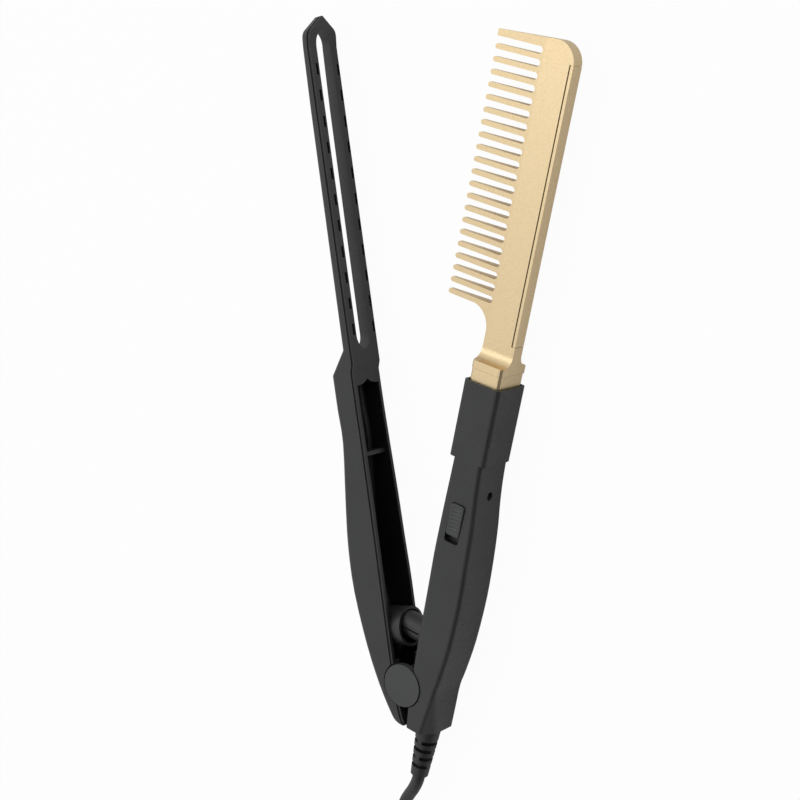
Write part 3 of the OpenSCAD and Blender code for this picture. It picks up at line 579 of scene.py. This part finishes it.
CORD_D = 5 * MM
WOUND_R = 26.2 * MM
COIL_AT = Vector((-31, -122, 0)) * MM
CORD_ROUTE = [
    (10, -37.7, 9.8), (10, -39.5, 9.8), (9.5, -42.5, 9.6), (8.3, -46, 9.1), (6.6, -49.6, 8.3),
    (4.9, -53.3, 7.3), (3.5, -57.5, 6.1), (2.4, -63, 4.8), (1.5, -70, 3.6), (0.8, -79, 2.8),
    (0.4, -88, 2.5), (0.2, -98, 2.5), (0.2, -110, 2.5), (0.2, -122, 2.5),
]
TAIL_ROUTE = [
    (-31, -150.7, 15.4), (-36, -150.7, 15.6), (-42, -150.7, 14.4), (-48, -150.7, 12),
    (-53, -150.7, 9.3), (-58, -150.7, 7.4), (-61, -150.7, 7), (-63, -150.7, 7),
]
ROW_OFFSETS = [(1, 0, -1), (-0.5, 0.5), (1, 0, -1), (-0.5, 0.5)]
ROW_RISE = 0.866


ROUTE_STEPS = 5
COIL_STEPS = 40


def coil_points():
    """The turns of the wound cord, from its lower outer turn to its upper outer one."""
    places = []
    for row, offsets in enumerate(ROW_OFFSETS):
        for offset in offsets:
            places.append((WOUND_R + offset * CORD_D, CORD_D * (0.5 + row * ROW_RISE)))
    places.append(places[-1])
    turns = len(places) - 1 + 0.25
    points = []
    for i in range(1, int(turns * COIL_STEPS)):
        turn = i / COIL_STEPS
        lap = int(turn)
        share = turn - lap
        ease = max(0.0, (share - 0.75) / 0.25)
        ease = ease * ease * (3 - 2 * ease)
        here = places[lap]
        there = places[min(lap + 1, len(places) - 1)]
        radius = here[0] + (there[0] - here[0]) * ease
        height = here[1] + (there[1] - here[1]) * ease
        angle = -2 * math.pi * turn
        points.append(COIL_AT + Vector((radius * math.cos(angle), radius * math.sin(angle), height)))
    return points


def add_cord():
    """The mains cord from the strain relief through its coil to the plug."""
    lead = smooth_path([Vector(p) * MM for p in CORD_ROUTE], ROUTE_STEPS)
    tail = smooth_path([Vector(p) * MM for p in TAIL_ROUTE], ROUTE_STEPS)
    points = lead + coil_points() + tail
    data = bpy.data.curves.new("mains_lead", "CURVE")
    data.dimensions = "3D"
    data.bevel_depth = CORD_D / 2
    data.bevel_resolution = 5
    data.use_fill_caps = True
    line = data.splines.new("POLY")
    line.points.add(len(points) - 1)
    for target, place in zip(line.points, points):
        target.co = (*place, 1)
    line.use_smooth = True
    data.materials.append(MATERIALS["cord_rubber"])
    cord = link_object("mains_lead", data, "handle")
    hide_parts("mains_cord", "cord_coil")


add_cord()


# ---- Floor, background and lights ----

SHOWN_TO = ("Is Camera Ray", "Is Glossy Ray", "Is Transmission Ray")
FLOOR_HALF = 6.0
# How much of the floor is plain white to each kind of ray; the rest keeps its shadows
FLOOR_SHARES = (0.96, 0.3, 0.9)


def add_floor():
    """A plain white floor that keeps a faint shadow."""
    mesh = bpy.data.meshes.new("floor")
    corners = [(x * FLOOR_HALF, y * FLOOR_HALF, 0) for x, y in ((-1, -1), (1, -1), (1, 1), (-1, 1))]
    mesh.from_pydata(corners, [], [(0, 1, 2, 3)])
    floor = bpy.data.objects.new("floor", mesh)
    bpy.context.collection.objects.link(floor)
    material, tree, shader = node_material("floor")
    shader.inputs["Base Color"].default_value = (0.86, 0.86, 0.86, 1)
    shader.inputs["Roughness"].default_value = 0.9
    shader.inputs["Specular IOR Level"].default_value = 0.1
    rays = tree.nodes.new("ShaderNodeLightPath")
    white = tree.nodes.new("ShaderNodeEmission")
    white.inputs["Strength"].default_value = 1.0
    shares = []
    for ray, amount in zip(SHOWN_TO, FLOOR_SHARES):
        share = tree.nodes.new("ShaderNodeMath")
        share.operation = "MULTIPLY"
        share.inputs[1].default_value = amount
        tree.links.new(rays.outputs[ray], share.inputs[0])
        shares.append(share.outputs["Value"])
    mix = tree.nodes.new("ShaderNodeMixShader")
    out = tree.nodes["Material Output"]
    tree.links.new(join(tree, "MAXIMUM", shares), mix.inputs["Fac"])
    tree.links.new(shader.outputs["BSDF"], mix.inputs[1])
    tree.links.new(white.outputs["Emission"], mix.inputs[2])
    tree.links.new(mix.outputs["Shader"], out.inputs["Surface"])
    mesh.materials.append(material)


# The surround is pale but for a dark patch, as between two softboxes. Its reach is given by the
# cosine of the angle away from its middle.
DARK_TOWARDS = Vector((0.77, -0.27, 0.58))
DARK_FROM = 0.6
DARK_FULL = 0.9
DARK_LEVEL = 0.06
PALE_LEVEL = 0.8


def add_world():
    """A plain pale surround with a darker patch, white where the camera sees it."""
    world = bpy.data.worlds.new("studio")
    bpy.context.scene.world = world
    world.use_nodes = True
    tree = world.node_tree
    tree.nodes.clear()
    place = tree.nodes.new("ShaderNodeTexCoord")
    lean = tree.nodes.new("ShaderNodeVectorMath")
    lean.operation = "DOT_PRODUCT"
    lean.inputs[1].default_value = DARK_TOWARDS.normalized()
    level = tree.nodes.new("ShaderNodeMapRange")
    level.interpolation_type = "SMOOTHSTEP"
    level.inputs["From Min"].default_value = DARK_FROM
    level.inputs["From Max"].default_value = DARK_FULL
    level.inputs["To Min"].default_value = 1.0
    level.inputs["To Max"].default_value = DARK_LEVEL
    rays = tree.nodes.new("ShaderNodeLightPath")
    shine = join(tree, "MAXIMUM", [rays.outputs[ray] for ray in SHOWN_TO[1:]])
    strength = tree.nodes.new("ShaderNodeMapRange")
    strength.inputs["To Min"].default_value = PALE_LEVEL
    strength.inputs["To Max"].default_value = 1.0
    tree.links.new(shine, strength.inputs["Value"])
    soft = tree.nodes.new("ShaderNodeBackground")
    soft.inputs["Color"].default_value = (1, 1, 1, 1)
    tree.links.new(place.outputs["Generated"], lean.inputs[0])
    tree.links.new(lean.outputs["Value"], level.inputs["Value"])
    patch = join(tree, "MULTIPLY", [level.outputs["Result"], strength.outputs["Result"]])
    tree.links.new(patch, soft.inputs["Strength"])
    white = tree.nodes.new("ShaderNodeBackground")
    white.inputs["Color"].default_value = (1, 1, 1, 1)
    white.inputs["Strength"].default_value = 1.0
    mix = tree.nodes.new("ShaderNodeMixShader")
    out = tree.nodes.new("ShaderNodeOutputWorld")
    tree.links.new(rays.outputs["Is Camera Ray"], mix.inputs["Fac"])
    tree.links.new(soft.outputs["Background"], mix.inputs[1])
    tree.links.new(white.outputs["Background"], mix.inputs[2])
    tree.links.new(mix.outputs["Shader"], out.inputs["Surface"])


def add_lamp(name, at, aim, size, watts):
    """A square softbox that faces a point."""
    data = bpy.data.lights.new(name, "AREA")
    data.shape = "SQUARE"
    data.size = size
    data.energy = watts
    lamp = bpy.data.objects.new(name, data)
    lamp.location = at
    lamp.rotation_euler = (Vector(aim) - Vector(at)).to_track_quat("-Z", "Y").to_euler()
    bpy.context.collection.objects.link(lamp)


MIDDLE = (-0.03, 0.12, 0.01)
add_floor()
add_world()
add_lamp("key", (-0.6, 0.5, 1.0), MIDDLE, 0.8, 2.2)
add_lamp("edge", (0.9, 0.55, 0.75), MIDDLE, 0.25, 0.5)

bpy.context.scene.view_settings.view_transform = "Standard"
